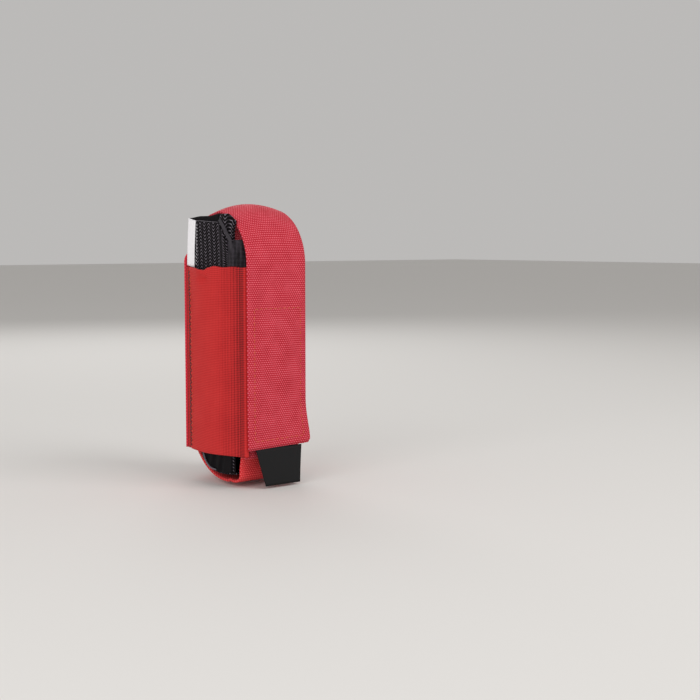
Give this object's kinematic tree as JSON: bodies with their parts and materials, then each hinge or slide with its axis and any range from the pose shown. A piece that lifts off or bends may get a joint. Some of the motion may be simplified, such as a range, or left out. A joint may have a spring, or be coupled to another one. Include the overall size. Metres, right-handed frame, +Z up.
{
  "type": "tourniquet in a belt and pack pouch",
  "caption": "Folded windlass tourniquet in a slim elastic-sided pouch with a long hook-and-loop flap, pull tab, bottom retention loop and a snapped carrier strap on the back.",
  "frame": {"origin": "centre of the back panel's rear face, which lies on the carrier", "axes": "+Z up along the pouch, -Y towards the flap that faces the user, +X to the right seen from the front"},
  "size_m": [0.0508, 0.0669, 0.1509],
  "materials": {
    "red_webbing": "coarse woven webbing, slight sheen",
    "red_panel": "plain woven pack cloth",
    "red_elastic": "fine ribbed elastic",
    "loop_pile": "soft loop pile",
    "hook_patch": "fine hook tape",
    "black_webbing": "woven webbing",
    "black_band": "herringbone band with a dull sheen",
    "grey_tape": "smooth flat tape",
    "white_strip": "smooth white woven strip",
    "coated_tab": "smooth coated fabric",
    "black_plastic": "moulded, satin",
    "snap_metal": "blackened, satin",
    "thread": "sewing thread"
  },
  "bodies": {
    "pouch": {"back_panel": "red_panel", "flap_root": "red_webbing", "left_elastic_panel": "red_elastic", "right_elastic_panel": "red_elastic", "front_panel": "red_webbing", "bottom_loop": "red_webbing", "front_loop_patch": "loop_pile", "grid_webbing": "red_panel", "carrier_strap_upper": "black_webbing", "snap_stud": "snap_metal", "snap_post": "snap_metal", "sewn_bartacks": "thread"},
    "strap_tail": {"carrier_strap_tail": "black_webbing", "strap_stiffener": "white_strip", "snap_socket": "snap_metal", "snap_cap": "snap_metal"},
    "flap_rear": {"flap_rear_span": "red_webbing"},
    "flap_crown": {"flap_crown_span": "red_webbing"},
    "flap_front": {"flap_front_span": "red_webbing", "flap_hook_patch": "hook_patch"},
    "pull_tab": {"pull_tab": "coated_tab"},
    "tourniquet": {"main_band": "black_band", "band_end_tab": "grey_tape", "tension_tape": "grey_tape", "tape_core": "grey_tape", "base_plate": "black_plastic", "windlass_rod": "black_plastic", "windlass_clip": "black_plastic", "buckle": "black_plastic", "clip_hook_pad": "black_band"},
    "time_strap": {"time_strap": "white_strip"}
  },
  "joints": [
    {"name": "flap_root_bend", "type": "hinge", "parent": "pouch", "child": "flap_rear", "pos_m": [0, -0.00433, 0.06202], "axis": [-1, 0, 0], "range_deg": [0, 36]},
    {"name": "flap_crown_bend", "type": "hinge", "parent": "flap_rear", "child": "flap_crown", "pos_m": [0, -0.01775, 0.0792], "axis": [-1, 0, 0], "range_deg": [0, 56]},
    {"name": "flap_open", "type": "hinge", "parent": "flap_crown", "child": "flap_front", "pos_m": [0, -0.04899, 0.07784], "axis": [-1, 0, 0], "range_deg": [0, 85]},
    {"name": "pull_tab_flex", "type": "hinge", "parent": "flap_front", "child": "pull_tab", "pos_m": [0, -0.0614, -0.0465], "axis": [-1, 0, 0], "range_deg": [0, 75]},
    {"name": "tourniquet_draw", "type": "slide", "parent": "pouch", "child": "tourniquet", "axis": [0, 0, 1], "range_m": [0, 0.03]},
    {"name": "time_strap_peel", "type": "hinge", "parent": "tourniquet", "child": "time_strap", "pos_m": [-0.0224, -0.003, 0.066], "axis": [0, 0, -1], "range_deg": [0, 110]},
    {"name": "strap_tail_open", "type": "hinge", "parent": "pouch", "child": "strap_tail", "pos_m": [0, 0.004, -0.0091], "axis": [1, 0, 0], "range_deg": [0, 110]}
  ],
  "couplings": [
    {"joint": "flap_root_bend", "follows": "tourniquet_draw", "rad_per_m": 20.3},
    {"joint": "flap_crown_bend", "follows": "tourniquet_draw", "rad_per_m": 32.2},
    {"joint": "flap_open", "follows": "tourniquet_draw", "rad_per_m": 49.4}
  ]
}
